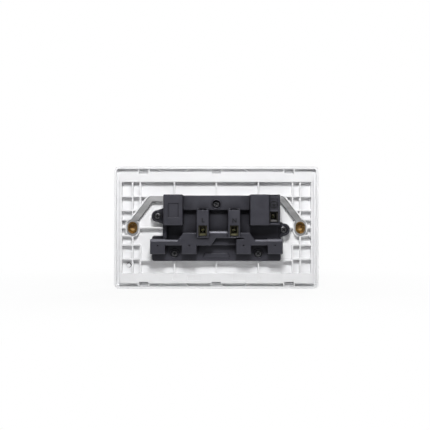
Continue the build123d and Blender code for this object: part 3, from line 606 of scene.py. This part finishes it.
# Clamp screws: threaded, with a slot across the head that is lined with painted shade
for pole in poles:
    node = f"{pole}_terminal_screw"
    low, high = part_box(node)
    centre = (low + high) / 2
    head_radius = (high.x - low.x) / 2
    one = threaded_screw(high.z - low.z - head_height, clamp_shank_radius, head_radius, clamp_crown)
    one.transform(Matrix.Translation((centre.x, centre.y, low.z)))
    clamp = add_piece(f"{pole}_clamp_screw", one, "screw_steel", f"{node}_body")
    slot_size = (4 * head_radius, clamp_slot_width, 2 * clamp_slot_depth)
    cut_recess(clamp, [(slot_size, Matrix.Translation((centre.x, centre.y, high.z)))], "painted_recess_shade")
    soft_shading(clamp, screw_sharp_angle)
    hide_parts(node)

# Shutter springs: round wire, with a closed turn at each end
for side in ("left", "right"):
    node = f"shutter_spring_{side}"
    low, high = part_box(node)
    centre = (low + high) / 2
    coil_radius = (high.x - low.x - spring_wire) / 2
    open_climb = high.z - low.z - 2 * spring_wire
    steps = spring_turns * spring_steps_per_turn
    dead_steps = spring_dead_turns * spring_steps_per_turn
    bm = bmesh.new()
    rings = []
    for step in range(steps + 1):
        climb = min(max((step - dead_steps) / (steps - 2 * dead_steps), 0.0), 1.0)
        closed = (min(step, dead_steps) + max(step - steps + dead_steps, 0)) / dead_steps
        z = low.z + spring_wire / 2 * (1 + closed) + climb * open_climb
        angle = 2 * math.pi * step / spring_steps_per_turn
        outward = Vector((math.cos(angle), math.sin(angle), 0))
        middle = Vector((centre.x, centre.y, z)) + outward * coil_radius
        ring = []
        for i in range(spring_wire_sides):
            turn = 2 * math.pi * i / spring_wire_sides
            offset = outward * math.cos(turn) + Vector((0, 0, 1)) * math.sin(turn)
            ring.append(bm.verts.new(middle + offset * spring_wire / 2))
        rings.append(ring)
    grid_faces(bm, rings)
    bmesh.ops.recalc_face_normals(bm, faces=bm.faces)
    spring = add_piece(f"coil_spring_{side}", bm, "spring_steel")
    soft_shading(spring, spring_sharp_angle)
    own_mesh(spring)
    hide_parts(node)

# Turns a flat sign so that it reads from behind
rear_view = Matrix(((-1, 0, 0, 0), (0, 0, 1, 0), (0, 1, 0, 0), (0, 0, 0, 1)))

# Raised letters on the terminal boxes
for name, (letter, (x, z)) in letters.items():
    curve = bpy.data.curves.new(name, "FONT")
    curve.body = letter
    curve.size = mark_height / capital_share
    curve.extrude = mark_relief
    curve.align_x = "CENTER"
    curve.align_y = "CENTER"
    text = bpy.data.objects.new(f"{name}_text", curve)
    scene.collection.objects.link(text)
    mesh = final_mesh(text)
    bpy.data.objects.remove(text)
    bm = bmesh.new()
    bm.from_mesh(mesh)
    bmesh.ops.remove_doubles(bm, verts=bm.verts, dist=weld_distance)
    bm.transform(Matrix.Translation((x, letter_level, z)) @ rear_view)
    add_piece(name, bm, "black_plastic", finish="raised_mark")

# Earth sign: a ring around a stem and three bars
bm = bmesh.new()
ring_inside = earth_ring - earth_line / 2
ring_outside = earth_ring + earth_line / 2
ring_section = (
    (ring_inside, -mark_relief),
    (ring_inside, mark_relief),
    (ring_outside, mark_relief),
    (ring_outside, -mark_relief),
)
loops = [turned_ring(bm, height, [radius] * earth_ring_steps) for radius, height in ring_section]
for here, there in zip(loops, loops[1:] + loops[:1]):
    for i in range(earth_ring_steps):
        after = (i + 1) % earth_ring_steps
        bm.faces.new((here[i], there[i], there[after], here[after]))
for (across, up), (width, height) in earth_strokes:
    centre = Matrix.Translation((across * earth_ring, up * earth_ring, 0))
    size = Matrix.Diagonal((width * earth_ring, height * earth_ring, 2 * mark_relief, 1))
    bmesh.ops.create_cube(bm, size=1.0, matrix=centre @ size)
bmesh.ops.recalc_face_normals(bm, faces=bm.faces)
bm.transform(Matrix.Translation((earth_mark[0], earth_level, earth_mark[1])) @ rear_view)
add_piece("mark_earth", bm, "black_plastic", finish="raised_mark")

# Peg of the cover: it rises through the frame's floor, with a rounded top
bm = bmesh.new()
profile = [(0.0, peg_radius)] + rounded_end(peg_radius, peg_height, peg_rounding, peg_rounding_steps)
grid_faces(bm, [turned_ring(bm, height, [radius] * peg_sides) for height, radius in profile])
bm.transform(Matrix.Translation(peg_foot) @ to_rear)
peg = add_piece("cover_peg", bm, "white_plastic")
soft_shading(peg, peg_sharp_angle)


def seen_as_white(tree, surface, white, share, mirror=1.0):
    """Mix a surface with white for the camera, and by a factor for reflections and clear glass."""
    path = tree.nodes.new("ShaderNodeLightPath")
    bounced = joined(tree, "MAXIMUM", path.outputs["Is Glossy Ray"], path.outputs["Is Transmission Ray"])
    bounced = joined(tree, "MULTIPLY", bounced, mirror)
    seen = joined(tree, "MAXIMUM", path.outputs["Is Camera Ray"], bounced)
    mix = tree.nodes.new("ShaderNodeMixShader")
    tree.links.new(joined(tree, "MULTIPLY", seen, share), mix.inputs["Fac"])
    tree.links.new(surface, mix.inputs[1])
    tree.links.new(white, mix.inputs[2])
    return mix.outputs["Shader"]


# Floor
bm = bmesh.new()
bmesh.ops.create_circle(bm, cap_ends=True, segments=floor_sides, radius=floor_radius)
floor = link_mesh("floor", bm)
floor.location.z = cad_low.z
floor_material, tree, shader = shader_tree("floor")
shader.inputs["Roughness"].default_value = floor_roughness
colour_spread(tree, shader, noise(tree, floor_noise_scale), *floor_shades)
white = tree.nodes.new("ShaderNodeEmission")
reach = vector_step(tree, "LENGTH", object_place(tree))
fade = map_range(tree, reach.outputs["Value"], floor_fade_start, floor_fade_end, floor_white_share)
floor_look = seen_as_white(tree, shader.outputs["BSDF"], white.outputs["Emission"], fade)
tree.links.new(floor_look, tree.nodes["Material Output"].inputs["Surface"])
floor.data.materials.append(floor_material)

# World: soft light all round, white where the camera sees it
world = bpy.data.worlds.new("studio")
scene.world = world
world.use_nodes = True
tree = world.node_tree
soft = tree.nodes["Background"]
soft.inputs["Color"].default_value = (1, 1, 1, 1)
soft.inputs["Strength"].default_value = ambient
backdrop = tree.nodes.new("ShaderNodeBackground")
backdrop.inputs["Color"].default_value = (1, 1, 1, 1)
direction = tree.nodes.new("ShaderNodeTexCoord")
parts = tree.nodes.new("ShaderNodeSeparateXYZ")
tree.links.new(direction.outputs["Generated"], parts.inputs["Vector"])
room_side = map_range(tree, parts.outputs["Y"], room_edge, room_full)
sky = seen_as_white(tree, soft.outputs["Background"], backdrop.outputs["Background"], 1.0, room_side)
tree.links.new(sky, tree.nodes["World Output"].inputs["Surface"])


def area_light(name, place, size, power):
    """Square soft box at a place, turned to the origin."""
    lamp = bpy.data.lights.new(name, "AREA")
    lamp.shape = "SQUARE"
    lamp.size = size
    lamp.energy = power
    obj = bpy.data.objects.new(name, lamp)
    obj.location = place
    obj.rotation_euler = (-Vector(place)).to_track_quat("-Z", "Y").to_euler()
    scene.collection.objects.link(obj)


# Lamps: a small key behind and above, and soft fills for the front and its right side
key_place = (0.0, key_distance * math.cos(key_angle), key_distance * math.sin(key_angle))
area_light("key", key_place, key_size, key_power)
area_light("front_fill", front_place, front_size, front_power)
area_light("side_fill", side_place, side_size, side_power)

# Camera straight behind the part, as in the photograph
camera_data = bpy.data.cameras.new("camera")
camera_data.sensor_width = sensor
camera_data.lens = sensor * photo_distance / photo_width
camera_data.clip_start = near_clip
camera = bpy.data.objects.new("camera", camera_data)
camera.location = (photo_aim[0], photo_distance, photo_aim[1])
camera.rotation_euler = (math.pi / 2, 0, math.pi)
scene.collection.objects.link(camera)
scene.camera = camera
scene.view_settings.view_transform = "Standard"
